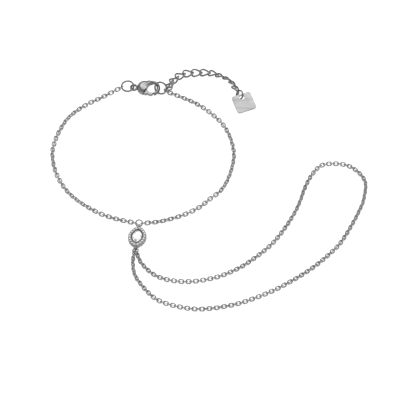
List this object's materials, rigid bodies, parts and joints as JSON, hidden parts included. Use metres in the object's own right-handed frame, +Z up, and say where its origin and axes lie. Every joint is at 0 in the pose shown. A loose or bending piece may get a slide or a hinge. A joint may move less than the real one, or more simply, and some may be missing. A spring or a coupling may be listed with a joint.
{
  "type": "hand chain bracelet",
  "caption": "Fine wrist chain with a lobster clasp and a curb-link extender, a pointed oval stone in a halo, and a long finger loop.",
  "frame": {"origin": "middle of the bracelet's outline as it lies, on the surface under it", "axes": "+Z up from the surface, +Y from the finger loop towards the clasp, +X to the right of the picture"},
  "size_m": [0.0929, 0.0922, 0.004],
  "materials": {
    "polished_metal": "polished",
    "chain_metal": "polished",
    "clasp_metal": "polished",
    "satin_metal": "satin",
    "clear_stone": "cut and polished",
    "small_stones": "cut and polished"
  },
  "bodies": {
    "bracelet": {"wrist_chain_left": "polished_metal", "wrist_chain_right": "polished_metal", "pendant_ring": "polished_metal", "pendant_setting": "polished_metal", "center_stone": "clear_stone", "halo_stones": "small_stones", "finger_ring": "polished_metal", "finger_chain": "chain_metal", "jump_ring_left": "polished_metal", "clasp_body": "clasp_metal", "jump_ring_right": "polished_metal", "extender_chain": "polished_metal", "tag_ring": "polished_metal", "tag": "satin_metal"},
    "clasp_lever": {"clasp_lever": "clasp_metal"}
  },
  "joints": [
    {"name": "clasp_lever_hinge", "type": "hinge", "parent": "bracelet", "child": "clasp_lever", "pos_m": [-0.01867, 0.03753, 0.00133], "axis": [-0.0144, -0.2753, 0.9613], "range_deg": [0, 18], "stiffness_Nm_per_rad": 0.0005, "springref_deg": -17.19}
  ]
}
